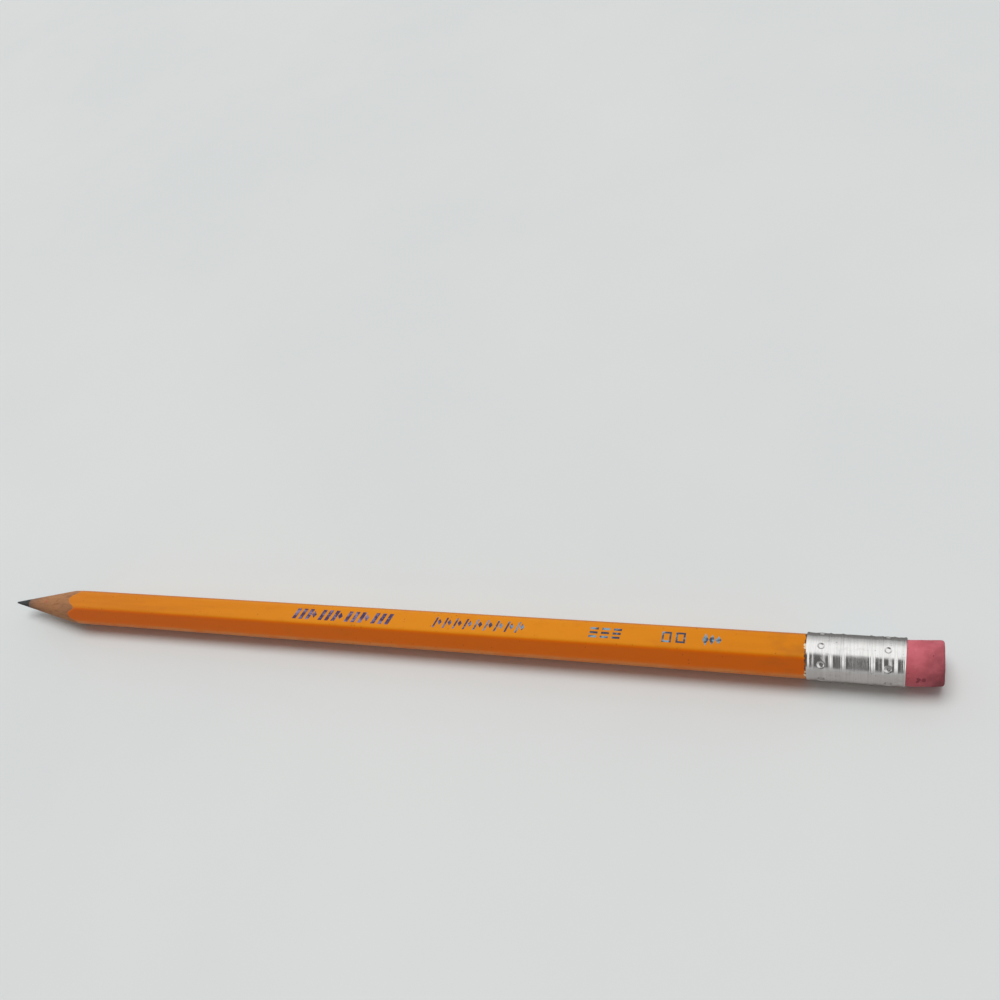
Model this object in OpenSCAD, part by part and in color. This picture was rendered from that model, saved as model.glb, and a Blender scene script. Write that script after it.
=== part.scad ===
/* [Casing] */
// Length of the whole pencil, blunted point to rubber end
total_length = 188; // [120:0.5:190.5]
// Width of the six-sided casing across two opposite flats
across_flats = 6.9; // [6.7:0.1:7.1]
// Radius that rounds the six long edges
edge_radius = 0.9; // [0.4:0.1:1.4]

/* [Point] */
// Angle between the pencil's axis and the sharpened cone
cone_half_angle = 10.7; // [9.5:0.1:13]
// Width of the little worn flat at the very tip
tip_flat_d = 0.36; // [0.2:0.02:0.8]
// Diameter of the graphite core
core_d = 2.0; // [1.8:0.1:2.2]

/* [Ferrule] */
// Length of the metal sleeve
ferrule_length = 14.2; // [12:0.1:16]
// Outside diameter of the sleeve's plain bands
ferrule_d = 7.5; // [7.3:0.05:7.6]
// Thickness of the sheet metal
sheet = 0.35; // [0.25:0.01:0.4]
// How far the rolled rings stand out of the plain bands
ring_height = 0.1; // [0.05:0.01:0.15]
// Number of punch marks around each row
punch_count = 8; // [6:1:10]

/* [Rubber] */
// Diameter of the rubber where it swells out of the sleeve
rubber_d = 7.15; // [7.0:0.05:7.3]
// How far the rubber stands out of the sleeve
rubber_proud = 5.4; // [3:0.1:7]
// Radius on the rubber's worn outer edge
rubber_edge = 0.5; // [0.3:0.1:1.2]

/* [Hidden] */
$fn = 64;

// Hexagon: the flats face up and down, two corners lie on the glued joint.
half_flats = across_flats / 2;
corner_centre = (half_flats - edge_radius) / cos(30);
corner_reach = corner_centre + edge_radius;
edge_step = 15;

// Along the pencil, measured from the tip.
cone_apex = -(tip_flat_d / 2) / tan(cone_half_angle);
core_bare_end = (core_d / 2) / tan(cone_half_angle) + cone_apex;
ferrule_start = total_length - rubber_proud - ferrule_length;
ferrule_end = total_length - rubber_proud;
tenon_length = 0.52 * ferrule_length;
tenon_end = ferrule_start + tenon_length;
core_end = tenon_end - 0.4;

// Casing end turned round, a little inside the six flats, for the sleeve.
tenon_r = min(half_flats, ferrule_d / 2 - sheet);

// Sleeve: bore, rings and punch marks. Places along it are parts of its length.
bore_r = ferrule_d / 2 - sheet;
lip_r = ferrule_d / 2 + ring_height * 0.6;
ring_r = ferrule_d / 2 + ring_height;
lip_width = 0.55;
ring_width = 0.75;
rolled_rings = [0.244, 0.372, 0.659];
bead_rings = [0.772, 0.888];
bead_width = 0.4;
bead_r = ferrule_d / 2 + ring_height * 0.45;
// Each row of punch marks: place along the sleeve, turn in degrees.
punch_rows = [[0.154, -1], [0.83, -2]];
punch_tip_r = 0.12;
punch_rim_r = 0.55;
punch_depth = 0.2;

// The sleeve is the lowest thing, so its lowest line is the floor.
axis_height = ring_r;

// Puts what is drawn along +Z from the tip onto the pencil's lying axis.
module lay_down() {
    translate([-total_length / 2, 0, axis_height]) rotate([0, 90, 0]) children();
}

// Rounded six-sided outline. Drawn along +Z, its X is the lying pencil's down.
module casing_outline() {
    polygon([
        for (corner = [0:5])
            for (step = [-2:2])
                let (mid = 60 * corner + 30, turn = mid + step * edge_step)
                    [
                        corner_centre * cos(mid) + edge_radius * cos(turn),
                        corner_centre * sin(mid) + edge_radius * sin(turn)
                    ]
    ]);
}

// Everything inside the sharpened cone, grown wide past the casing.
module sharpened_space(length) {
    reach = 30;
    cylinder(
        h = reach,
        r1 = tip_flat_d / 2,
        r2 = tip_flat_d / 2 + reach * tan(cone_half_angle)
    );
    translate([0, 0, reach]) cylinder(h = length - reach, r = corner_reach + 1);
}

// Half of the casing: side is 1 for the upper slat and -1 for the lower one.
module slat(side) {
    difference() {
        intersection() {
            union() {
                linear_extrude(height = ferrule_start) casing_outline();
                translate([0, 0, ferrule_start - 1]) cylinder(h = tenon_length + 1, r = tenon_r);
            }
            sharpened_space(total_length);
            translate([side > 0 ? -10 : 0, -10, 0]) cube([10, 20, total_length]);
        }
        translate([0, 0, -1]) cylinder(h = core_end + 1, r = core_d / 2);
    }
}

module casing_upper() {
    color("orange") lay_down() slat(1);
}

module casing_lower() {
    color("darkorange") lay_down() slat(-1);
}

module graphite_core() {
    color("dimgray") lay_down() intersection() {
        cylinder(h = core_end, r = core_d / 2);
        sharpened_space(total_length);
    }
}

// Round band of a larger radius with chamfered sides, centred on z = 0.
module band(width, radius) {
    slope = width / 4;
    rotate_extrude() polygon([
        [bore_r, -width / 2],
        [ferrule_d / 2 - 0.01, -width / 2],
        [radius, -width / 2 + slope],
        [radius, width / 2 - slope],
        [ferrule_d / 2 - 0.01, width / 2],
        [bore_r, width / 2]
    ]);
}

// Ring of conical marks, each pressed punch_depth into the sheet.
module punch_row() {
    flare = (punch_rim_r - punch_tip_r) / punch_depth;
    for (mark = [0:punch_count - 1])
        rotate([0, 0, mark * 360 / punch_count])
            translate([ferrule_d / 2 - punch_depth, 0, 0])
                rotate([0, 90, 0]) cylinder(h = 1, r1 = punch_tip_r, r2 = punch_tip_r + flare);
}

module ferrule() {
    color("silver") lay_down() translate([0, 0, ferrule_start]) difference() {
        union() {
            cylinder(h = ferrule_length, r = ferrule_d / 2);
            translate([0, 0, lip_width / 2]) band(lip_width, lip_r);
            translate([0, 0, ferrule_length - lip_width / 2]) band(lip_width, lip_r);
            for (place = rolled_rings)
                translate([0, 0, place * ferrule_length]) band(ring_width, ring_r);
            for (place = bead_rings)
                translate([0, 0, place * ferrule_length]) band(bead_width, bead_r);
        }
        translate([0, 0, -1]) cylinder(h = ferrule_length + 2, r = bore_r);
        for (row = punch_rows)
            translate([0, 0, row[0] * ferrule_length]) rotate([0, 0, row[1]]) punch_row();
    }
}

// Rubber plug: squeezed to the bore inside the sleeve, wider outside it.
module eraser() {
    plug_r = rubber_d / 2;
    swell = 0.35;
    color("lightcoral") lay_down() rotate_extrude() polygon(concat(
        [
            [0, tenon_end],
            [bore_r, tenon_end],
            [bore_r, ferrule_end],
            [plug_r, ferrule_end + swell]
        ],
        [
            for (turn = [0:15:90])
                [
                    plug_r - rubber_edge + rubber_edge * cos(turn),
                    total_length - rubber_edge + rubber_edge * sin(turn)
                ]
        ],
        [[0, total_length]]
    ));
}

casing_upper();
casing_lower();
graphite_core();
ferrule();
eraser();
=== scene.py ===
"""A used six-sided pencil, lying on a pale table: sharpened wood and graphite, worn orange
lacquer with a dark foil marking, a punched metal sleeve and a pink rubber."""

import math

import bmesh
import bpy
from mathutils import Matrix, Vector


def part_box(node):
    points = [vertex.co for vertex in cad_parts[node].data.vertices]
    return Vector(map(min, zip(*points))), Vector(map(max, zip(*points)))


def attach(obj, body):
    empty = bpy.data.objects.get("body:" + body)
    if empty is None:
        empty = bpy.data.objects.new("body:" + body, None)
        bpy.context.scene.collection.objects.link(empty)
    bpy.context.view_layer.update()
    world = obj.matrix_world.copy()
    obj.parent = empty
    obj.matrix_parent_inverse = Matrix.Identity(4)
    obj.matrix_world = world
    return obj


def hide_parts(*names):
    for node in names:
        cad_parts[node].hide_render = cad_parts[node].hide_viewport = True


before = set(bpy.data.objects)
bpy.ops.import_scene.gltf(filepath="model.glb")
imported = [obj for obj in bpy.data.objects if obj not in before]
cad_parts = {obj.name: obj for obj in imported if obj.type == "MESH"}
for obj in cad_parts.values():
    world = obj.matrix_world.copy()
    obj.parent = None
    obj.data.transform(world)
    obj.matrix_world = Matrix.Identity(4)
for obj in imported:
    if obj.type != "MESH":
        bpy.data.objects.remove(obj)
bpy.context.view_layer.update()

MM = 0.001

# Places along the pencil and radii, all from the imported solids.
core_low, core_high = (Vector(corner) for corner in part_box("graphite_core"))
slat_low, slat_high = (Vector(corner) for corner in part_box("casing_upper"))
sleeve_low, sleeve_high = (Vector(corner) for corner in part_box("ferrule"))
rubber_low, rubber_high = (Vector(corner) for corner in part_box("eraser"))

AXIS_Z = (core_low.z + core_high.z) / 2
TIP_X = core_low.x
CORE_END_X = core_high.x
CORE_R = (core_high.z - core_low.z) / 2
WOOD_START_X = slat_low.x
WOOD_END_X = slat_high.x
HALF_FLATS = slat_high.z - AXIS_Z
SLEEVE_START_X = sleeve_low.x
SLEEVE_END_X = sleeve_high.x
SLEEVE_LENGTH = SLEEVE_END_X - SLEEVE_START_X
RING_R = sleeve_high.z - AXIS_Z
RUBBER_START_X = rubber_low.x
RUBBER_END_X = rubber_high.x
RUBBER_R = rubber_high.z - AXIS_Z

# Sizes that the boxes don't tell. The lacquer is chipped back behind the sharpener's cut.
EDGE_R = 0.9 * MM
COAT = 0.07 * MM
CHIPPED_BACK = 0.9 * MM
TIP_FLAT_R = 0.18 * MM
CONE_SLOPE = (CORE_R - TIP_FLAT_R) / (WOOD_START_X - TIP_X)
RING_HEIGHT = 0.1 * MM
SHEET = 0.35 * MM
TENON_R = 3.4 * MM
CONE_SIDES = 160

LIE_ALONG_X = (0, math.pi / 2, 0)
POINT_TO_TIP = (0, -math.pi / 2, 0)


# ---------------------------------------------------------------- modelling tools

def select_only(piece):
    """Leaves one piece selected and active."""
    bpy.ops.object.select_all(action="DESELECT")
    piece.select_set(True)
    bpy.context.view_layer.objects.active = piece


def named(name):
    """Names the piece that was just added, and fixes its place in its mesh."""
    piece = bpy.context.object
    piece.name = name
    piece.data.name = name
    bpy.ops.object.transform_apply(location=True, rotation=True, scale=True)
    return piece


def start_edit(piece, part="VERT"):
    select_only(piece)
    bpy.ops.object.mode_set(mode="EDIT")
    bpy.ops.mesh.select_mode(type=part)
    bpy.ops.mesh.select_all(action="DESELECT")


def end_edit():
    bpy.ops.object.mode_set(mode="OBJECT")


def pick(piece, parts, test):
    """In edit mode, selects only the verts, edges or faces that pass a test."""
    bpy.ops.mesh.select_all(action="DESELECT")
    mesh = bmesh.from_edit_mesh(piece.data)
    for part in getattr(mesh, parts):
        if test(part):
            part.select_set(True)
    mesh.select_flush_mode()
    bmesh.update_edit_mesh(piece.data)


def pick_end(piece, place):
    """In edit mode, selects the many-sided face that closes a round piece at a place along it."""
    pick(piece, "faces",
         lambda face: len(face.verts) > 20 and abs(face.calc_center_median().x - place) < 0.2 * MM)


def edge_run(edge):
    return edge.verts[1].co - edge.verts[0].co


def runs_along(edge):
    """True for an edge that lies along the pencil."""
    run = edge_run(edge)
    return abs(run.x) > 0.999 * run.length


def finish_with(piece, kind, **settings):
    """Adds a modifier and applies it."""
    select_only(piece)
    modifier = piece.modifiers.new(kind.lower(), kind)
    for key, value in settings.items():
        setattr(modifier, key, value)
    bpy.ops.object.modifier_apply(modifier=modifier.name)


def cut(piece, tool, how, keep_tool=False):
    """Cuts a piece with a tool solid: how is DIFFERENCE, INTERSECT or UNION."""
    finish_with(piece, "BOOLEAN", object=tool, operation=how, solver="EXACT")
    if not keep_tool:
        bpy.data.objects.remove(tool)


def uneven(piece, depth, grain, stretch=(1, 1, 1)):
    """Gives a surface a soft unevenness of that depth, in grains of that size."""
    pattern = bpy.data.textures.new(piece.name + "_uneven", "CLOUDS")
    pattern.noise_scale = 1
    pattern.noise_depth = 2
    guide = bpy.data.objects.new("guide", None)
    guide.scale = [grain * factor for factor in stretch]
    bpy.context.collection.objects.link(guide)
    bpy.context.view_layer.update()
    finish_with(piece, "DISPLACE", texture=pattern, texture_coords="OBJECT",
                texture_coords_object=guide, strength=depth, mid_level=0.5)
    bpy.data.objects.remove(guide)


def press(piece, place, push, reach, falloff="SMOOTH"):
    """In edit mode, moves the surface at a place by push, fading out at reach."""
    mesh = bmesh.from_edit_mesh(piece.data)
    nearest = min(mesh.verts, key=lambda vert: (vert.co - place).length_squared)
    bpy.ops.mesh.select_all(action="DESELECT")
    nearest.select_set(True)
    bmesh.update_edit_mesh(piece.data)
    bpy.ops.transform.translate(value=push, use_proportional_edit=True,
                                proportional_edit_falloff=falloff, proportional_size=reach,
                                use_proportional_connected=False)


def at(x, angle, radius):
    """The point at a place along the pencil, an angle around it and a radius."""
    turn = math.radians(angle)
    return Vector((x, radius * math.cos(turn), AXIS_Z + radius * math.sin(turn)))


def outward(angle):
    turn = math.radians(angle)
    return Vector((0, math.cos(turn), math.sin(turn)))


def smooth_shaded(piece, degrees):
    select_only(piece)
    bpy.ops.object.shade_smooth_by_angle(angle=math.radians(degrees))


def clean(piece):
    """Merges doubles and turns the faces outwards."""
    start_edit(piece)
    bpy.ops.mesh.select_all(action="SELECT")
    bpy.ops.mesh.remove_doubles(threshold=0.0005 * MM)
    bpy.ops.mesh.normals_make_consistent(inside=False)
    if bmesh.from_edit_mesh(piece.data).calc_volume(signed=True) < 0:
        bpy.ops.mesh.flip_normals()
    end_edit()


def part_of_pencil(piece, slot, *nodes):
    """Ties a finished piece to the pencil's one body."""
    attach(piece, "root")
    if nodes:
        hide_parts(*nodes)


# ---------------------------------------------------------------- casing and core

def six_sided_bar(name, half_flats, start, end, rings, strips):
    """Hexagonal bar with rounded long edges, two of its flats up and down."""
    bpy.ops.object.select_all(action="DESELECT")
    bpy.ops.mesh.primitive_cylinder_add(
        vertices=6, radius=half_flats / math.cos(math.radians(30)), depth=end - start,
        location=((start + end) / 2, 0, AXIS_Z), rotation=LIE_ALONG_X)
    bar = named(name)
    start_edit(bar, "EDGE")
    pick(bar, "edges", runs_along)
    bpy.ops.mesh.bevel(offset=EDGE_R * math.tan(math.radians(30)), segments=6, profile=0.5)
    flat_width = 2 * (half_flats - EDGE_R) * math.tan(math.radians(30))
    pick(bar, "edges", lambda edge: abs(edge_run(edge).length - flat_width) < 0.2 * MM)
    bpy.ops.mesh.subdivide(number_cuts=strips)
    pick(bar, "edges", runs_along)
    bpy.ops.mesh.subdivide(number_cuts=rings)
    end_edit()
    return bar


def sharpener_cut():
    """The space that a sharpener leaves: a slightly uneven cone, open far past the bar."""
    depth = 30 * MM
    past_the_bar = 170 * MM
    bpy.ops.object.select_all(action="DESELECT")
    bpy.ops.mesh.primitive_cone_add(
        vertices=CONE_SIDES, radius1=TIP_FLAT_R + depth * CONE_SLOPE, radius2=TIP_FLAT_R, depth=depth,
        location=(TIP_X + depth / 2, 0, AXIS_Z), rotation=POINT_TO_TIP)
    # Turned by half a side, so that no corner of the cone lies on the glued joint.
    bpy.ops.transform.rotate(value=math.radians(180 / CONE_SIDES), orient_axis="X",
                             center_override=(0, 0, AXIS_Z))
    cone = named("sharpener_cut")
    start_edit(cone, "EDGE")
    pick(cone, "edges", lambda edge: abs(edge_run(edge).x) > 20 * MM)
    bpy.ops.mesh.subdivide(number_cuts=90)
    end_edit()
    uneven(cone, 0.05 * MM, 1.1 * MM, stretch=(4, 1, 1))
    uneven(cone, 0.022 * MM, 0.3 * MM, stretch=(6, 1, 1))
    start_edit(cone, "FACE")
    pick_end(cone, TIP_X + depth)
    bpy.ops.mesh.extrude_region_move(TRANSFORM_OT_translate={"value": (past_the_bar, 0, 0)})
    end_edit()
    return cone


def round_bar(name, radius, start, end, sides=64):
    bpy.ops.object.select_all(action="DESELECT")
    bpy.ops.mesh.primitive_cylinder_add(
        vertices=sides, radius=radius, depth=end - start,
        location=((start + end) / 2, 0, AXIS_Z), rotation=LIE_ALONG_X)
    return named(name)


def half_of(piece, name, side):
    """A copy of a piece, cut flat along the glued joint. side is 1 for up, -1 for down."""
    slat_space = (300 * MM, 20 * MM, 10 * MM)
    select_only(piece)
    bpy.ops.object.duplicate()
    half = named(name)
    bpy.ops.object.select_all(action="DESELECT")
    bpy.ops.mesh.primitive_cube_add(size=1, location=(0, 0, AXIS_Z + side * slat_space[2] / 2),
                                    scale=slat_space)
    cut(half, named("slat_space"), "INTERSECT")
    return half


def make_casing():
    """Two wooden halves around the core, and the lacquer coat that both wear."""
    sharpener = sharpener_cut()

    wood_half = HALF_FLATS - COAT
    bar_start = TIP_X + 2 * MM
    wood = six_sided_bar("wood", wood_half, bar_start, SLEEVE_START_X, rings=40, strips=2)
    cut(wood, sharpener, "INTERSECT", keep_tool=True)
    cut(wood, round_bar("tenon", TENON_R, SLEEVE_START_X - 1 * MM, WOOD_END_X), "UNION")
    cut(wood, round_bar("core_hole", CORE_R, TIP_X - 1 * MM, CORE_END_X), "DIFFERENCE")
    upper = half_of(wood, "wooden_half_upper", 1)
    lower = half_of(wood, "wooden_half_lower", -1)
    bpy.data.objects.remove(wood)

    core = round_bar("graphite_point", CORE_R, TIP_X, CORE_END_X, sides=96)
    cut(core, sharpener, "INTERSECT", keep_tool=True)

    # The lacquer has chipped back a little from the sharpener's cut, along a ragged line.
    select_only(sharpener)
    bpy.ops.transform.translate(value=(CHIPPED_BACK, 0, 0))
    bpy.ops.object.transform_apply(location=True)
    uneven(sharpener, 0.07 * MM, 0.6 * MM)
    coat = six_sided_bar("lacquer_coat", HALF_FLATS, bar_start, SLEEVE_START_X, rings=150, strips=5)
    cut(coat, sharpener, "INTERSECT")
    inside = six_sided_bar("coat_inside", wood_half, TIP_X, SLEEVE_START_X + 1 * MM, rings=1, strips=0)
    cut(coat, inside, "DIFFERENCE")
    return upper, lower, coat, core


def dress_casing(upper, lower, coat, core):
    for piece in (upper, lower, coat, core):
        clean(piece)
        smooth_shaded(piece, 40)
    part_of_pencil(upper, "casing", "casing_upper")
    part_of_pencil(lower, "casing", "casing_lower")
    part_of_pencil(coat, "casing")
    part_of_pencil(core, "graphite", "graphite_core")


# ---------------------------------------------------------------- foil marking

FOIL_TOP = AXIS_Z + HALF_FLATS + 0.012 * MM
FOIL_DEPTH = 0.03 * MM
MARK_WIDTH = 2.2 * MM


def stamped_shape(x, y, length, width, turn, lean=0.0):
    """A flat four-sided foil shape on the top flat. Its far side leans towards the sleeve."""
    bpy.ops.object.select_all(action="DESELECT")
    bpy.ops.mesh.primitive_circle_add(vertices=4, radius=0.5, fill_type="NGON",
                                      location=(x, y, FOIL_TOP), rotation=(0, 0, turn))
    shape = named("foil_shape")
    span = shape.dimensions
    start_edit(shape)
    bpy.ops.mesh.select_all(action="SELECT")
    bpy.ops.transform.resize(value=(length / span.x, width / span.y, 1),
                             center_override=(x, y, FOIL_TOP))
    pick(shape, "verts", lambda vert: vert.co.y > y + 0.1 * MM)
    bpy.ops.transform.translate(value=(lean, 0, 0))
    bpy.ops.mesh.select_mode(type="FACE")
    bpy.ops.mesh.select_all(action="SELECT")
    bpy.ops.mesh.extrude_region_move(TRANSFORM_OT_translate={"value": (0, 0, -FOIL_DEPTH)})
    bpy.ops.mesh.select_all(action="SELECT")
    bpy.ops.mesh.normals_make_consistent(inside=False)
    end_edit()
    return shape


def stamped_bar(x, y, length, width, lean=0.0):
    return stamped_shape(x, y, length, width, math.pi / 4, lean)


def stamped_diamond(x, y, length, width):
    return stamped_shape(x, y, length, width, 0.0)


def bold_band(start, pitch):
    """Leaning bars, with a diamond in every fourth place."""
    shapes = []
    for place in range(15):
        x = start + place * pitch
        if place % 4 == 3:
            shapes.append(stamped_diamond(x, 0, 1.0 * MM, 1.5 * MM))
        else:
            shapes.append(stamped_bar(x, 0, 0.80 * MM, MARK_WIDTH, lean=0.75 * MM))
    return shapes


def fine_band(start, pitch):
    """Thin leaning strokes, each with a small diamond after it."""
    shapes = []
    for stroke in range(9):
        x = start + stroke * pitch
        shapes.append(stamped_bar(x, 0, 0.36 * MM, 2.1 * MM, lean=0.6 * MM))
        shapes.append(stamped_diamond(x + 1.1 * MM, 0.1 * MM, 0.80 * MM, 1.25 * MM))
    return shapes


def dash_stacks(start, pitch):
    """Three stacks of three dashes. Each dash is set back a little from the one above it."""
    shapes = []
    for stack in range(3):
        for row in range(3):
            x = start + stack * pitch - row * 0.1 * MM
            shapes.append(stamped_bar(x, (1 - row) * 0.75 * MM, 1.4 * MM, 0.40 * MM))
    return shapes


def open_squares(start, pitch):
    """Two squares, each of four thin bars."""
    shapes = []
    for square in range(2):
        x = start + square * pitch
        for side in (-1, 1):
            shapes.append(stamped_bar(x + side * 0.62 * MM, 0, 0.32 * MM, 1.9 * MM))
            shapes.append(stamped_bar(x, side * 0.79 * MM, 0.92 * MM, 0.32 * MM))
    return shapes


def shrinking_diamonds(start, pitch):
    """Three diamonds side by side, each narrower than the last."""
    shapes = []
    for step in range(3):
        width = MARK_WIDTH - step * 0.40 * MM
        shapes.append(stamped_diamond(start + step * pitch, 0, 0.95 * MM, width))
    return shapes


def make_marking():
    """Plain stamped ornaments, in five groups along the top flat."""
    shapes = bold_band(-19.0 * MM, 1.42 * MM)
    shapes += fine_band(10.4 * MM, 1.98 * MM)
    shapes += dash_stacks(40.3 * MM, 2.0 * MM)
    shapes += open_squares(52.6 * MM, 2.3 * MM)
    shapes += shrinking_diamonds(58.9 * MM, 1.05 * MM)

    select_only(shapes[0])
    for shape in shapes:
        shape.select_set(True)
    bpy.ops.object.join()
    marking = named("foil_marking")
    part_of_pencil(marking, "casing")
    return marking


# ---------------------------------------------------------------- sleeve

# Shapes rolled into the sleeve: part of its length, half width, height out of the sheet.
SLEEVE_BANDS = [
    (0.012, 0.40 * MM, 0.06 * MM),
    (0.085, 0.40 * MM, -0.03 * MM),
    (0.154, 0.80 * MM, 0.05 * MM),
    (0.244, 0.25 * MM, 0.09 * MM),
    (0.282, 0.30 * MM, -0.03 * MM),
    (0.372, 0.28 * MM, 0.10 * MM),
    (0.414, 0.32 * MM, -0.03 * MM),
    (0.659, 0.29 * MM, 0.10 * MM),
    (0.706, 0.36 * MM, -0.04 * MM),
    (0.772, 0.21 * MM, 0.06 * MM),
    (0.830, 0.60 * MM, 0.04 * MM),
    (0.888, 0.23 * MM, 0.07 * MM),
    (0.925, 0.28 * MM, -0.04 * MM),
    (0.985, 0.24 * MM, 0.09 * MM),
]
# Rows of punch marks: part of the sleeve's length, turn of the first one.
PUNCH_ROWS = [(0.154, -0.7), (0.83, 0.3)]
PUNCH_COUNT = 8
PUNCH_R = 0.56 * MM
PUNCH_CONE = 0.45 * MM
PUNCH_FLOOR = 0.20 * MM
PUNCH_FLOOR_R = 0.72 * PUNCH_R
# The outer end: how far it is drawn out, its degrees out of square, and how far both reach.
END_DRAWN_OUT = 0.14 * MM
END_TURN = 2.4
END_REACH = 2.5 * MM


def sleeve_radius(part):
    """Radius of the rolled sheet at a part of its length."""
    radius = RING_R - RING_HEIGHT
    for place, half_width, height in SLEEVE_BANDS:
        away = abs(part - place) * SLEEVE_LENGTH / half_width
        if away < 1:
            radius += height * (0.5 + 0.5 * math.cos(math.pi * away))
    return min(radius, RING_R)


def roll_sleeve():
    """A tube without thickness, drawn out ring by ring to the sleeve's rolled profile."""
    rings = 200
    bpy.ops.object.select_all(action="DESELECT")
    bpy.ops.mesh.primitive_circle_add(
        vertices=224, radius=sleeve_radius(0), fill_type="NOTHING",
        location=(SLEEVE_START_X, 0, AXIS_Z), rotation=LIE_ALONG_X)
    sleeve = named("metal_sleeve")
    start_edit(sleeve, "EDGE")
    bpy.ops.mesh.select_all(action="SELECT")
    step = SLEEVE_LENGTH / rings
    for ring in range(1, rings + 1):
        growth = sleeve_radius(ring / rings) / sleeve_radius((ring - 1) / rings)
        bpy.ops.mesh.extrude_region_move(TRANSFORM_OT_translate={"value": (step, 0, 0)})
        bpy.ops.transform.resize(value=(1, growth, growth),
                                 center_override=(SLEEVE_START_X + ring * step, 0, AXIS_Z))
    return sleeve


def punch(sleeve):
    """In edit mode, presses in the two rows of marks."""
    for part, turn in PUNCH_ROWS:
        x = SLEEVE_START_X + part * SLEEVE_LENGTH
        for mark in range(PUNCH_COUNT):
            angle = 90 + turn + mark * 360 / PUNCH_COUNT
            place = at(x, angle, RING_R - RING_HEIGHT)
            inward = -outward(angle)
            # A cone is pressed in, then its tip is pushed back to leave a flat bottom.
            press(sleeve, place, PUNCH_CONE * inward, PUNCH_R, "LINEAR")
            press(sleeve, place + PUNCH_CONE * inward, (PUNCH_FLOOR - PUNCH_CONE) * inward,
                  PUNCH_FLOOR_R, "LINEAR")


def skew_end(sleeve):
    """In edit mode, leaves the outer end a little out of square."""
    pick(sleeve, "verts", lambda vert: vert.co.x > SLEEVE_END_X - 0.01 * MM)
    bpy.ops.transform.translate(value=(END_DRAWN_OUT, 0, 0), use_proportional_edit=True,
                                proportional_edit_falloff="SMOOTH", proportional_size=END_REACH)
    pick(sleeve, "verts", lambda vert: vert.co.x > SLEEVE_END_X + END_DRAWN_OUT - 0.01 * MM)
    bpy.ops.transform.rotate(value=math.radians(END_TURN), orient_axis="Z",
                             center_override=(SLEEVE_END_X + END_DRAWN_OUT, 0, AXIS_Z),
                             use_proportional_edit=True, proportional_edit_falloff="SMOOTH",
                             proportional_size=END_REACH)


def make_sleeve():
    """The rolled, punched sleeve, with the thickness of its sheet."""
    sleeve = roll_sleeve()
    punch(sleeve)
    skew_end(sleeve)
    bpy.ops.mesh.select_all(action="SELECT")
    bpy.ops.mesh.normals_make_consistent(inside=False)
    end_edit()
    uneven(sleeve, 0.035 * MM, 2.0 * MM)
    finish_with(sleeve, "SOLIDIFY", thickness=SHEET, offset=-1)
    smooth_shaded(sleeve, 50)
    part_of_pencil(sleeve, "sleeve", "ferrule")
    return sleeve


# ---------------------------------------------------------------- rubber

def make_rubber():
    """Rubber plug with a worn, rounded end that leans a little."""
    edge = 0.42 * MM
    worn_r = RUBBER_R - 0.09 * MM
    drawn_start = SLEEVE_END_X - 1 * MM
    rubber = round_bar("rubber_plug", worn_r, drawn_start, RUBBER_END_X, sides=144)
    start_edit(rubber, "EDGE")
    pick(rubber, "edges", lambda e: all(v.co.x > RUBBER_END_X - 0.01 * MM for v in e.verts))
    bpy.ops.mesh.bevel(offset=edge, segments=9, profile=0.5)
    pick(rubber, "edges", lambda e: abs(edge_run(e).x) > 3 * MM)
    bpy.ops.mesh.subdivide(number_cuts=50)
    bpy.ops.mesh.select_mode(type="FACE")
    pick_end(rubber, RUBBER_END_X)
    for _ in range(14):
        bpy.ops.mesh.inset(thickness=0.18 * MM)
    bpy.ops.mesh.poke()
    end_edit()

    # Squeezed inside the sleeve, then down to the hidden end of the plug.
    start_edit(rubber, "VERT")
    pick(rubber, "verts", lambda v: v.co.x < SLEEVE_END_X + 0.05 * MM)
    squeeze = (RING_R - RING_HEIGHT - SHEET) / worn_r
    bpy.ops.transform.resize(value=(1, squeeze, squeeze), center_override=(0, 0, AXIS_Z))
    bpy.ops.mesh.select_mode(type="FACE")
    pick_end(rubber, drawn_start)
    bpy.ops.transform.translate(value=(RUBBER_START_X - drawn_start, 0, 0))
    end_edit()

    # The end leans, and its edge is rubbed away in two places: angle, depth, set back, reach.
    start_edit(rubber, "VERT")
    pick(rubber, "verts", lambda v: v.co.x > RUBBER_END_X - edge)
    bpy.ops.transform.translate(value=(0, 0.2 * MM, 0.1 * MM), use_proportional_edit=True,
                                proportional_edit_falloff="LINEAR", proportional_size=4.2 * MM)
    for angle, depth, back, reach in [(215, 0.26, 0.16, 1.5), (150, 0.06, 0.05, 1.2)]:
        push = -depth * MM * outward(angle) + Vector((-back * MM, 0, 0))
        press(rubber, at(RUBBER_END_X, angle, worn_r), push, reach * MM)
    end_edit()
    uneven(rubber, 0.06 * MM, 1.6 * MM)
    uneven(rubber, 0.03 * MM, 0.35 * MM)
    clean(rubber)
    smooth_shaded(rubber, 60)
    part_of_pencil(rubber, "rubber", "eraser")
    return rubber


# ---------------------------------------------------------------- shader tools

def new_material(name):
    material = bpy.data.materials.new(name)
    material.use_nodes = True
    tree = material.node_tree
    return material, tree, tree.nodes["Principled BSDF"]


def add(tree, kind, inputs=None, **settings):
    """Adds a node, sets its options, and fills its sockets with values or links."""
    node = tree.nodes.new("ShaderNode" + kind)
    for key, value in settings.items():
        setattr(node, key, value)
    fill(tree, node, inputs or {})
    return node


def fill(tree, node, inputs):
    for key, value in inputs.items():
        socket = node.inputs[key]
        if isinstance(value, bpy.types.NodeSocket):
            tree.links.new(value, socket)
        else:
            socket.default_value = value


def place_on(tree):
    """The place on the pencil, in metres."""
    return add(tree, "TexCoord").outputs["Object"]


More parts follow.
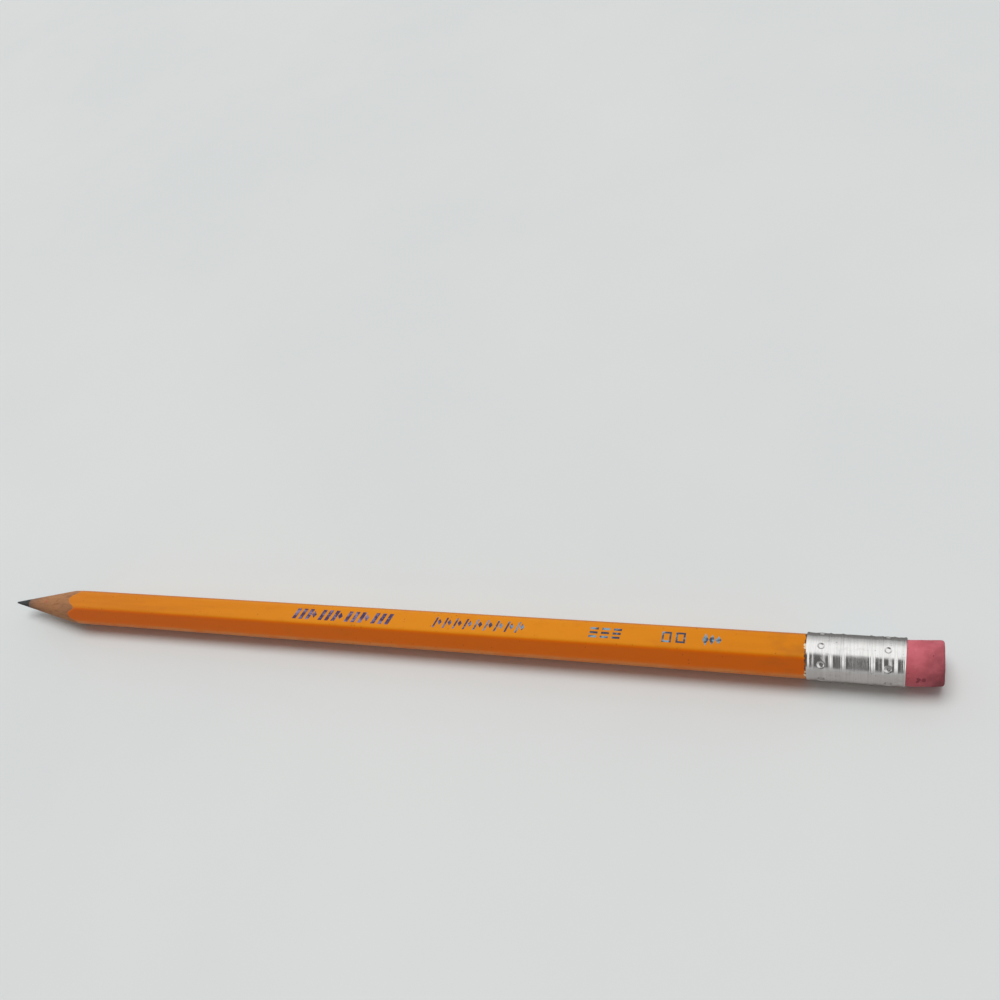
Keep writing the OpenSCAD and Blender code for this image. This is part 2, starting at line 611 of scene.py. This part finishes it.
def coordinate(tree, place, axis):
    return add(tree, "SeparateXYZ", {0: place}).outputs[axis]


def maths(tree, operation, first, second=0.0):
    return add(tree, "Math", {0: first, 1: second}, operation=operation).outputs[0]


def times(tree, first, second):
    return maths(tree, "MULTIPLY", first, second)


def ramp(tree, value, low, high, to_low=0.0, to_high=1.0):
    """Eases a value from to_low at low to to_high at high."""
    return add(tree, "MapRange", {"Value": value, "From Min": low, "From Max": high, "To Min": to_low,
                                  "To Max": to_high}, interpolation_type="SMOOTHSTEP").outputs[0]


def mix(tree, factor, first, second):
    """Blends two colours: first where the factor is 0, second where it is 1."""
    return add(tree, "Mix", {0: factor, 6: first, 7: second}, data_type="RGBA").outputs[2]


def shader_group(name, inputs, outputs):
    """A node group with named sockets. Returns it with its input and output nodes."""
    group = bpy.data.node_groups.new(name, "ShaderNodeTree")
    for socket, kind, value in inputs:
        made = group.interface.new_socket(name=socket, in_out="INPUT", socket_type="NodeSocket" + kind)
        if value is not None:
            made.default_value = value
    for socket in outputs:
        group.interface.new_socket(name=socket, in_out="OUTPUT", socket_type="NodeSocketFloat")
    source = group.nodes.new("NodeGroupInput")
    result = group.nodes.new("NodeGroupOutput")
    return group, source, result


def use(tree, group, output, **inputs):
    """Places a group in a material with its own values and returns one of its outputs."""
    node = tree.nodes.new("ShaderNodeGroup")
    node.node_tree = group
    fill(tree, node, inputs)
    return node.outputs[output]


def make_streaks():
    """Stretched grain: Stretch is the number of grains per metre each way."""
    sockets = [("Place", "Vector", None), ("Stretch", "Vector", (1, 1, 1)), ("Rough", "Float", 0.6)]
    group, source, result = shader_group("streaks", sockets, ["Value"])
    scaled = add(group, "VectorMath", {0: source.outputs["Place"], 1: source.outputs["Stretch"]},
                 operation="MULTIPLY")
    grain = add(group, "TexNoise", {"Vector": scaled.outputs[0], "Scale": 1.0, "Detail": 4.0,
                                    "Roughness": source.outputs["Rough"]})
    group.links.new(grain.outputs["Fac"], result.inputs["Value"])
    return group


def make_specks():
    """Separate small spots: Count per metre, Size as a part of a cell, Sparse the part left bare."""
    sockets = [("Place", "Vector", None), ("Count", "Float", 1000.0), ("Size", "Float", 0.2),
               ("Sparse", "Float", 0.6)]
    group, source, result = shader_group("specks", sockets, ["Mask"])
    size = source.outputs["Size"]
    cells = add(group, "TexVoronoi", {"Vector": source.outputs["Place"],
                                      "Scale": source.outputs["Count"], "Randomness": 1.0})
    spot = ramp(group, cells.outputs["Distance"], size, times(group, size, 0.6))
    chance = add(group, "SeparateColor", {"Color": cells.outputs["Color"]}).outputs[0]
    kept = maths(group, "GREATER_THAN", chance, source.outputs["Sparse"])
    group.links.new(times(group, spot, kept), result.inputs["Mask"])
    return group


def angle_around(group, place):
    """The angle around the pencil in radians, 0 on the far side and growing upwards."""
    height = maths(group, "SUBTRACT", coordinate(group, place, "Z"), AXIS_Z)
    return maths(group, "ARCTAN2", height, coordinate(group, place, "Y"))


def make_around():
    """Where a point is around the pencil: Edge is 1 on the long edges, Side on the four side flats."""
    group, source, result = shader_group("around_the_pencil", [("Place", "Vector", None)],
                                         ["Edge", "Side"])
    angle = angle_around(group, source.outputs["Place"])
    ridge = maths(group, "COSINE", times(group, angle, 6.0))
    group.links.new(ramp(group, ridge, 0.86, 0.99), result.inputs["Edge"])
    level = maths(group, "ABSOLUTE", maths(group, "COSINE", angle))
    group.links.new(ramp(group, level, 0.45, 0.55), result.inputs["Side"])
    return group


def make_smudge():
    """One mark with a ragged outline, at a place and of a size in metres."""
    sockets = [("Place", "Vector", None), ("Centre", "Vector", None), ("Size", "Float", 0.001)]
    group, source, result = shader_group("smudge", sockets, ["Mask"])
    away = add(group, "VectorMath", {0: source.outputs["Place"], 1: source.outputs["Centre"]},
               operation="DISTANCE").outputs["Value"]
    ragged = add(group, "TexNoise", {"Vector": source.outputs["Place"], "Scale": 1700.0, "Detail": 2.0})
    reach = times(group, source.outputs["Size"], ramp(group, ragged.outputs["Fac"], 0.3, 0.7, 0.6, 1.4))
    group.links.new(ramp(group, maths(group, "DIVIDE", away, reach), 1.1, 0.8), result.inputs["Mask"])
    return group


def make_punched():
    """The dark rim of each mark in a row: Along is the row's place, Turn the angle of a mark."""
    sockets = [("Place", "Vector", None), ("Along", "Float", 0.0), ("Turn", "Float", 0.0)]
    group, source, result = shader_group("punched", sockets, ["Rim"])
    place = source.outputs["Place"]
    angle = maths(group, "SUBTRACT", angle_around(group, place), source.outputs["Turn"])
    to_mark = maths(group, "PINGPONG", angle, math.pi / PUNCH_COUNT)
    sideways = times(group, to_mark, RING_R - RING_HEIGHT)
    along = maths(group, "SUBTRACT", coordinate(group, place, "X"), source.outputs["Along"])
    squares = maths(group, "ADD", times(group, along, along), times(group, sideways, sideways))
    away = maths(group, "SQRT", squares)
    rim = times(group, ramp(group, away, 0.26 * MM, 0.42 * MM), ramp(group, away, 0.62 * MM, 0.48 * MM))
    group.links.new(rim, result.inputs["Rim"])
    return group


STREAKS = make_streaks()
SPECKS = make_specks()
PUNCHED = make_punched()
AROUND = make_around()
SMUDGE = make_smudge()


def smudges(tree, place, marks):
    """The masks of several smudges together. marks: place along, angle around, radius, size."""
    together = 0.0
    for x, angle, radius, size in marks:
        one = use(tree, SMUDGE, "Mask", Place=place, Centre=at(x, angle, radius), Size=size)
        together = maths(tree, "MAXIMUM", together, one)
    return together


def bump(tree, height, distance, strength, below=None):
    """Relief of a depth in metres, on top of the relief below it."""
    inputs = {"Height": height, "Distance": distance, "Strength": strength}
    if below is not None:
        inputs["Normal"] = below
    return add(tree, "Bump", inputs).outputs["Normal"]


# ---------------------------------------------------------------- materials

# The lacquer: its own shades, painted light and shade, the dirt on it, and what shows where it is worn
# or broken.
ORANGE_DEEP = (0.615, 0.188, 0.003, 1)
ORANGE_LIGHT = (0.665, 0.212, 0.004, 1)
ORANGE_POOL_OF_LIGHT = (0.740, 0.262, 0.008, 1)
ORANGE_SIDE_SHADE = (0.71, 0.126, 0.001, 1)
ORANGE_EDGE_REFLECTION = (0.66, 0.33, 0.12, 1)
ORANGE_DULL = (0.56, 0.15, 0.006, 1)
LACQUER_GRIME = (0.30, 0.11, 0.02, 1)
LACQUER_SPECK = (0.20, 0.055, 0.012, 1)
LACQUER_NICK = (0.24, 0.07, 0.012, 1)
LACQUER_TORN = (0.10, 0.045, 0.02, 1)
BARE_CHIP = (0.78, 0.66, 0.46, 1)


def broken_by_sleeve(tree, place, x):
    """Where the coat is broken along the sleeve: a dark torn line, and a few pale chips."""
    crushed = use(tree, STREAKS, "Value", Place=place, Stretch=(1600, 2200, 2200), Rough=0.7)
    ragged_x = maths(tree, "ADD", x, times(tree, crushed, 0.9 * MM))
    torn = ramp(tree, ragged_x, SLEEVE_START_X + 0.22 * MM, SLEEVE_START_X + 0.34 * MM)
    chips = smudges(tree, place, [
        (SLEEVE_START_X - 0.15 * MM, 88, 3.45 * MM, 0.28 * MM),
        (SLEEVE_START_X - 0.12 * MM, 95, 3.45 * MM, 0.24 * MM),
        (SLEEVE_START_X - 0.10 * MM, 161, 3.5 * MM, 0.14 * MM),
        (SLEEVE_START_X - 0.10 * MM, 170, 3.7 * MM, 0.30 * MM),
        (SLEEVE_START_X - 0.10 * MM, 40, 3.5 * MM, 0.30 * MM),
        (SLEEVE_START_X - 0.10 * MM, 300, 3.5 * MM, 0.35 * MM),
    ])
    return torn, chips


def lacquer_material():
    material, tree, shader = new_material("orange_lacquer")
    place = place_on(tree)
    x = coordinate(tree, place, "X")
    y = coordinate(tree, place, "Y")
    flow = use(tree, STREAKS, "Value", Place=place, Stretch=(60, 700, 700))
    cloud = use(tree, STREAKS, "Value", Place=place, Stretch=(220, 420, 420))
    fine = use(tree, STREAKS, "Value", Place=place, Stretch=(900, 5000, 5000))
    edge = use(tree, AROUND, "Edge", Place=place)
    side = use(tree, AROUND, "Side", Place=place)
    specks = use(tree, SPECKS, "Mask", Place=place, Count=1100.0, Size=0.16, Sparse=0.84)
    nicks = use(tree, SPECKS, "Mask", Place=place, Count=1500.0, Size=0.28, Sparse=0.72)

    # Painted pool of light along its middle, painted shade that turns the side flats redder (most on
    # the near side), and a painted reflection as a pale line on its near lower edge.
    colour = mix(tree, ramp(tree, flow, 0.35, 0.65), ORANGE_DEEP, ORANGE_LIGHT)
    from_middle = maths(tree, "ABSOLUTE", maths(tree, "SUBTRACT", x, 12 * MM))
    # Painted pool of light: the lacquer is lighter along the middle of the pencil.
    colour = mix(tree, ramp(tree, from_middle, 85 * MM, 10 * MM, 0.0, 0.9), colour, ORANGE_POOL_OF_LIGHT)
    # Painted shade: the side flats turn a deeper, redder orange, most on the near side.
    side_shade = times(tree, side, ramp(tree, y, 1 * MM, -1 * MM, 0.2, 0.8))
    colour = mix(tree, side_shade, colour, ORANGE_SIDE_SHADE)
    # Painted reflection of the table: a pale, broken line along the near lower edge.
    near_edge = ramp(tree, y, -3.45 * MM, -3.75 * MM)
    rubbed_streaks_and_edge_reflection = times(tree, near_edge, ramp(tree, cloud, 0.3, 0.6, 0.2, 0.55))
    colour = mix(tree, rubbed_streaks_and_edge_reflection, colour, ORANGE_EDGE_REFLECTION)
    colour = mix(tree, ramp(tree, cloud, 0.52, 0.75, 0.0, 0.30), colour, ORANGE_DULL)

    by_sleeve = ramp(tree, x, SLEEVE_START_X - 9 * MM, SLEEVE_START_X, 0.0, 0.30)
    grime = times(tree, ramp(tree, cloud, 0.4, 0.7), by_sleeve)
    colour = mix(tree, grime, colour, LACQUER_GRIME)
    colour = mix(tree, times(tree, specks, 0.45), colour, LACQUER_SPECK)
    worn = times(tree, edge, nicks)
    colour = mix(tree, times(tree, worn, 0.35), colour, LACQUER_NICK)
    torn, chips = broken_by_sleeve(tree, place, x)
    colour = mix(tree, torn, colour, LACQUER_TORN)
    colour = mix(tree, chips, colour, BARE_CHIP)
    fill(tree, shader, {
        "Base Color": colour,
        "Roughness": ramp(tree, fine, 0.3, 0.7, 0.32, 0.46),
        "IOR": 1.45,
        "Specular IOR Level": 0.16,
        "Coat Weight": 0.10,
        "Coat Roughness": 0.2,
    })
    dents = maths(tree, "ADD", times(tree, specks, -0.8), times(tree, worn, -1.0))
    dents = maths(tree, "SUBTRACT", dents, maths(tree, "MAXIMUM", chips, torn))
    surface = bump(tree, dents, 0.03 * MM, 0.7)
    surface = bump(tree, cloud, 0.04 * MM, 0.4, surface)
    surface = bump(tree, fine, 0.005 * MM, 0.5, surface)
    fill(tree, shader, {"Normal": surface})
    return material


WOOD_PALE = (0.40, 0.195, 0.090, 1)
WOOD_BROWN = (0.33, 0.165, 0.084, 1)
WOOD_GRAIN = (0.22, 0.105, 0.056, 1)
WOOD_FIBRE = (0.14, 0.065, 0.04, 1)
WOOD_TORN = (0.50, 0.34, 0.19, 1)
WOOD_ROSY = (0.42, 0.13, 0.085, 1)
GRAPHITE_DUST = (0.15, 0.10, 0.085, 1)


def wood_material():
    material, tree, shader = new_material("bare_wood")
    place = place_on(tree)
    x = coordinate(tree, place, "X")
    grain = use(tree, STREAKS, "Value", Place=place, Stretch=(90, 2600, 2600), Rough=0.65)
    bands = use(tree, STREAKS, "Value", Place=place, Stretch=(45, 620, 620))
    turning = use(tree, STREAKS, "Value", Place=place, Stretch=(3200, 300, 300))
    fibres = use(tree, SPECKS, "Mask", Place=place, Count=1500.0, Size=0.25, Sparse=0.8)
    colour = mix(tree, ramp(tree, bands, 0.38, 0.62), WOOD_PALE, WOOD_BROWN)
    colour = mix(tree, ramp(tree, grain, 0.5, 0.68, 0.0, 0.55), colour, WOOD_GRAIN)
    colour = mix(tree, times(tree, fibres, 0.3), colour, WOOD_FIBRE)

    # Graphite has dusted the wood, most of all right beside the point.
    dust = maths(tree, "ADD", ramp(tree, x, WOOD_START_X, WOOD_START_X + 6 * MM, 0.65, 0.0),
                 ramp(tree, x, WOOD_START_X, WOOD_START_X + 1.2 * MM, 0.30, 0.0))
    dust = times(tree, dust, ramp(tree, grain, 0.25, 0.65, 0.45, 1.0))
    colour = mix(tree, dust, colour, GRAPHITE_DUST)
    torn = smudges(tree, place, [
        (WOOD_START_X + 5.4 * MM, 172, 2.0 * MM, 0.16 * MM),
        (WOOD_START_X + 6.7 * MM, 190, 2.3 * MM, 0.20 * MM),
        (WOOD_START_X + 8.2 * MM, 165, 2.6 * MM, 0.14 * MM),
        (WOOD_START_X + 6.0 * MM, 20, 2.2 * MM, 0.18 * MM),
    ])
    colour = mix(tree, times(tree, torn, 0.7), colour, WOOD_TORN)
    rosy = smudges(tree, place, [(WOOD_START_X + 6.2 * MM, 96, 2.2 * MM, 0.55 * MM)])
    colour = mix(tree, times(tree, rosy, 0.5), colour, WOOD_ROSY)
    fill(tree, shader, {
        "Base Color": colour,
        "Roughness": ramp(tree, grain, 0.3, 0.7, 0.62, 0.82),
        "IOR": 1.4,
        "Specular IOR Level": 0.3,
    })
    surface = bump(tree, grain, 0.03 * MM, 0.8)
    surface = bump(tree, turning, 0.015 * MM, 0.6, surface)
    surface = bump(tree, torn, 0.05 * MM, 0.7, surface)
    fill(tree, shader, {"Normal": surface})
    return material


GRAPHITE_BLACK = (0.010, 0.012, 0.012, 1)
GRAPHITE_GREY = (0.030, 0.031, 0.031, 1)


def graphite_material():
    material, tree, shader = new_material("graphite")
    place = place_on(tree)
    rubbed_streaks_and_edge_reflection = use(tree, STREAKS, "Value", Place=place, Stretch=(2600, 900, 900))
    fine = use(tree, STREAKS, "Value", Place=place, Stretch=(6000, 6000, 6000))
    fill(tree, shader, {
        "Base Color": mix(tree, ramp(tree, rubbed_streaks_and_edge_reflection, 0.35, 0.7), GRAPHITE_BLACK, GRAPHITE_GREY),
        "Metallic": 0.5,
        "Roughness": ramp(tree, fine, 0.3, 0.7, 0.38, 0.58),
    })
    surface = bump(tree, rubbed_streaks_and_edge_reflection, 0.02 * MM, 0.7)
    surface = bump(tree, fine, 0.006 * MM, 0.8, surface)
    fill(tree, shader, {"Normal": surface})
    return material


ALUMINIUM_DULL = (0.68, 0.675, 0.66, 1)
ALUMINIUM_BRIGHT = (0.80, 0.795, 0.78, 1)
ALUMINIUM_SCUFFED = (0.52, 0.51, 0.495, 1)
ALUMINIUM_PIT = (0.25, 0.24, 0.23, 1)
PUNCH_GRIME = (0.20, 0.195, 0.19, 1)


def sleeve_material():
    material, tree, shader = new_material("scratched_aluminium")
    place = place_on(tree)
    brushed = use(tree, STREAKS, "Value", Place=place, Stretch=(3200, 160, 160), Rough=0.75)
    scuffs = use(tree, STREAKS, "Value", Place=place, Stretch=(500, 900, 900), Rough=0.75)
    pits = use(tree, SPECKS, "Mask", Place=place, Count=1800.0, Size=0.2, Sparse=0.8)
    colour = mix(tree, ramp(tree, brushed, 0.3, 0.7), ALUMINIUM_DULL, ALUMINIUM_BRIGHT)
    colour = mix(tree, ramp(tree, scuffs, 0.52, 0.75, 0.0, 0.45), colour, ALUMINIUM_SCUFFED)
    colour = mix(tree, times(tree, pits, 0.5), colour, ALUMINIUM_PIT)
    rims = 0.0
    for part, turn in PUNCH_ROWS:
        rim = use(tree, PUNCHED, "Rim", Place=place, Along=SLEEVE_START_X + part * SLEEVE_LENGTH,
                  Turn=math.radians(90 + turn))
        rims = maths(tree, "MAXIMUM", rims, rim)
    grime = times(tree, rims, ramp(tree, scuffs, 0.35, 0.6, 0.05, 0.6))
    colour = mix(tree, grime, colour, PUNCH_GRIME)
    fill(tree, shader, {
        "Base Color": colour,
        "Metallic": 1.0,
        "Roughness": ramp(tree, scuffs, 0.35, 0.7, 0.14, 0.26),
    })
    surface = bump(tree, brushed, 0.020 * MM, 0.9)
    surface = bump(tree, pits, -0.02 * MM, 0.5, surface)
    fill(tree, shader, {"Normal": surface})
    return material


PINK_FRESH = (0.60, 0.150, 0.185, 1)
PINK_DARK = (0.53, 0.120, 0.150, 1)
PINK_CRUMB = (0.72, 0.27, 0.30, 1)
RUBBER_SPECK = (0.20, 0.06, 0.075, 1)
RUBBER_DIRT = (0.25, 0.065, 0.08, 1)
RUBBER_STAIN = (0.15, 0.030, 0.045, 1)


def rubber_material():
    material, tree, shader = new_material("pink_rubber")
    place = place_on(tree)
    x = coordinate(tree, place, "X")
    y = coordinate(tree, place, "Y")
    cloud = use(tree, STREAKS, "Value", Place=place, Stretch=(500, 500, 500))
    fine = use(tree, STREAKS, "Value", Place=place, Stretch=(4200, 4200, 4200), Rough=0.7)
    crumbs = use(tree, SPECKS, "Mask", Place=place, Count=1500.0, Size=0.3, Sparse=0.78)
    grey = use(tree, SPECKS, "Mask", Place=place, Count=1100.0, Size=0.16, Sparse=0.80)
    colour = mix(tree, ramp(tree, cloud, 0.35, 0.65), PINK_FRESH, PINK_DARK)
    colour = mix(tree, times(tree, crumbs, 0.20), colour, PINK_CRUMB)
    colour = mix(tree, times(tree, grey, 0.45), colour, RUBBER_SPECK)

    # Dirt gathers towards the end and is made darker towards the near side, with a few stains on it.
    dirty_end = ramp(tree, x, RUBBER_END_X - 4.4 * MM, RUBBER_END_X - 0.1 * MM, 0.0, 0.85)
    near_side_weight = ramp(tree, y, 0.5 * MM, -3.2 * MM, 0.60, 1.45)
    dirt = times(tree, times(tree, dirty_end, near_side_weight), ramp(tree, cloud, 0.3, 0.7, 0.45, 1.0))
    colour = mix(tree, dirt, colour, RUBBER_DIRT)
    stains = smudges(tree, place, [
        (RUBBER_END_X - 3.62 * MM, 161, 3.45 * MM, 0.30 * MM),
        (RUBBER_END_X - 3.74 * MM, 168, 3.45 * MM, 0.34 * MM),
        (RUBBER_END_X - 2.86 * MM, 158, 3.45 * MM, 0.28 * MM),
        (RUBBER_END_X - 2.92 * MM, 165, 3.45 * MM, 0.30 * MM),
        (RUBBER_END_X - 1.60 * MM, 96, 3.55 * MM, 0.14 * MM),
        (RUBBER_END_X - 2.40 * MM, 250, 3.55 * MM, 0.30 * MM),
        (RUBBER_END_X, 196, 1.5 * MM, 0.7 * MM),
        (RUBBER_END_X, 262, 2.7 * MM, 0.4 * MM),
    ])
    colour = mix(tree, times(tree, stains, 0.62), colour, RUBBER_STAIN)
    fill(tree, shader, {
        "Base Color": colour,
        "Roughness": ramp(tree, fine, 0.3, 0.7, 0.72, 0.92),
        "IOR": 1.4,
        "Specular IOR Level": 0.3,
    })
    surface = bump(tree, fine, 0.025 * MM, 0.8)
    surface = bump(tree, crumbs, 0.03 * MM, 0.5, surface)
    fill(tree, shader, {"Normal": surface})
    return material


# The foil is violet at the point's end of the marking and turns blue towards the sleeve.
FOIL_VIOLET = (0.22, 0.20, 0.34, 1)
FOIL_BLUE = (0.20, 0.34, 0.44, 1)
FOIL_DARK_VIOLET = (0.060, 0.040, 0.100, 1)
FOIL_DARK_BLUE = (0.045, 0.060, 0.095, 1)
FOIL_WORN = (0.60, 0.19, 0.02, 1)


def foil_material():
    material, tree, shader = new_material("marking_foil")
    place = place_on(tree)
    sheen = use(tree, STREAKS, "Value", Place=place, Stretch=(650, 1100, 900))
    worn = use(tree, STREAKS, "Value", Place=place, Stretch=(3000, 5200, 5200), Rough=0.7)
    turned = ramp(tree, coordinate(tree, place, "X"), 0, 40 * MM)
    lit = mix(tree, turned, FOIL_VIOLET, FOIL_BLUE)
    dark = mix(tree, turned, FOIL_DARK_VIOLET, FOIL_DARK_BLUE)
    colour = mix(tree, ramp(tree, sheen, 0.44, 0.62), dark, lit)
    colour = mix(tree, ramp(tree, worn, 0.58, 0.70, 0.0, 0.85), colour, FOIL_WORN)
    fill(tree, shader, {
        "Base Color": colour,
        "Metallic": ramp(tree, worn, 0.58, 0.70, 0.6, 0.0),
        "Roughness": ramp(tree, worn, 0.3, 0.7, 0.25, 0.45),
        "Specular IOR Level": 0.3,
        "Normal": bump(tree, worn, 0.004 * MM, 0.6),
    })
    return material


def dress(piece, material):
    piece.data.materials.clear()
    piece.data.materials.append(material)


# ---------------------------------------------------------------- table, light and camera

TABLE_COOL = (0.69, 0.74, 0.75, 1)
TABLE_PALE = (0.72, 0.765, 0.77, 1)
MIRRORED_TABLE = (0.44, 0.44, 0.44, 1)
MIRRORED_SHADE = (0.19, 0.19, 0.19, 1)


def make_table():
    """A plain pale table. Metal mirrors a duller one, darker behind the pencil than in front."""
    bpy.ops.object.select_all(action="DESELECT")
    bpy.ops.mesh.primitive_plane_add(size=6, location=(0, 0, 0))
    table = named("table")
    material, tree, shader = new_material("pale_table")
    place = place_on(tree)
    soft = use(tree, STREAKS, "Value", Place=place, Stretch=(9, 9, 9))
    seen = mix(tree, ramp(tree, soft, 0.3, 0.7), TABLE_COOL, TABLE_PALE)
    behind = ramp(tree, coordinate(tree, place, "Y"), -1 * MM, 3 * MM)
    mirrored = mix(tree, behind, MIRRORED_TABLE, MIRRORED_SHADE)
    colour = mix(tree, add(tree, "LightPath").outputs["Is Glossy Ray"], seen, mirrored)
    fill(tree, shader, {"Base Color": colour, "Roughness": 0.6, "Specular IOR Level": 0.2})
    dress(table, material)


LAMP_WHITE = (1.0, 0.99, 0.975)
ROOM_WARM = (0.27, 0.20, 0.17, 1)
ROOM_COOL = (0.52, 0.53, 0.54, 1)
ROOM_BACKGROUND = (0.68, 0.69, 0.69, 1)
MIRRORED_FIGURE = (0.130, 0.125, 0.125, 1)


def make_lamp():
    """A wide soft lamp, nearly overhead."""
    bpy.ops.object.light_add(type="SUN", location=(0, 0, 1))
    lamp = bpy.context.object
    lamp.name = "soft_sky_lamp"
    lamp.data.energy = 1.75
    lamp.data.angle = math.radians(36)
    lamp.data.color = LAMP_WHITE
    shines_towards = Vector((0.06, -0.17, -1))
    lamp.rotation_euler = shines_towards.to_track_quat("-Z", "Y").to_euler()
    lamp.visible_glossy = False


def mirrored_room(tree, towards):
    """What metal and lacquer mirror: bright above and behind, and a dark figure in front."""
    x = towards.outputs["X"]
    from_front = times(tree, towards.outputs["Y"], -1.0)
    rise = times(tree, maths(tree, "ARCTAN2", towards.outputs["Z"], from_front), 180 / math.pi)
    tall = times(tree, ramp(tree, rise, 2.0, 18.0), ramp(tree, rise, 86.0, 68.0))
    wide = times(tree, ramp(tree, x, -0.78, -0.58), ramp(tree, x, 0.26, 0.0))
    behind = ramp(tree, rise, 125.0, 180.0, 1.12, 0.50)
    walls = times(tree, behind, ramp(tree, rise, 0.0, 40.0, 0.45, 1.0))
    return mix(tree, times(tree, tall, wide), walls, MIRRORED_FIGURE)


def make_room():
    """A pale room that is darker and warmer in front of the pencil."""
    world = bpy.data.worlds.new("room")
    bpy.context.scene.world = world
    world.use_nodes = True
    tree = world.node_tree
    towards = add(tree, "SeparateXYZ", {0: add(tree, "TexCoord").outputs["Generated"]})
    soft = mix(tree, ramp(tree, towards.outputs["Y"], -0.7, 0.6), ROOM_WARM, ROOM_COOL)
    light_path = add(tree, "LightPath")
    level = mix(tree, light_path.outputs["Is Glossy Ray"], soft, mirrored_room(tree, towards))
    level = mix(tree, light_path.outputs["Is Camera Ray"], level, ROOM_BACKGROUND)
    fill(tree, tree.nodes["Background"], {"Color": level, "Strength": 1.0})


CAMERA_EYE = Vector((86.76, -72.42, 147.84)) * MM
CAMERA_AIM = Vector((12.96, 32.19, 0)) * MM
CAMERA_ROLL = -27.451
CAMERA_LENS = 34.81


def make_camera():
    data = bpy.data.cameras.new("camera")
    data.lens = CAMERA_LENS
    data.clip_start = 5 * MM
    camera = bpy.data.objects.new("camera", data)
    bpy.context.collection.objects.link(camera)
    camera.location = CAMERA_EYE
    level = (CAMERA_AIM - CAMERA_EYE).to_track_quat("-Z", "Y").to_matrix()
    roll = Matrix.Rotation(math.radians(CAMERA_ROLL), 3, "Z")
    camera.rotation_euler = (level @ roll).to_euler()
    bpy.context.scene.camera = camera


# ---------------------------------------------------------------- the pencil and its scene

upper, lower, coat, core = make_casing()
dress_casing(upper, lower, coat, core)
wood = wood_material()
dress(upper, wood)
dress(lower, wood)
dress(coat, lacquer_material())
dress(core, graphite_material())
dress(make_marking(), foil_material())
dress(make_sleeve(), sleeve_material())
dress(make_rubber(), rubber_material())
make_table()
make_lamp()
make_room()
make_camera()
bpy.context.scene.view_settings.view_transform = "Standard"
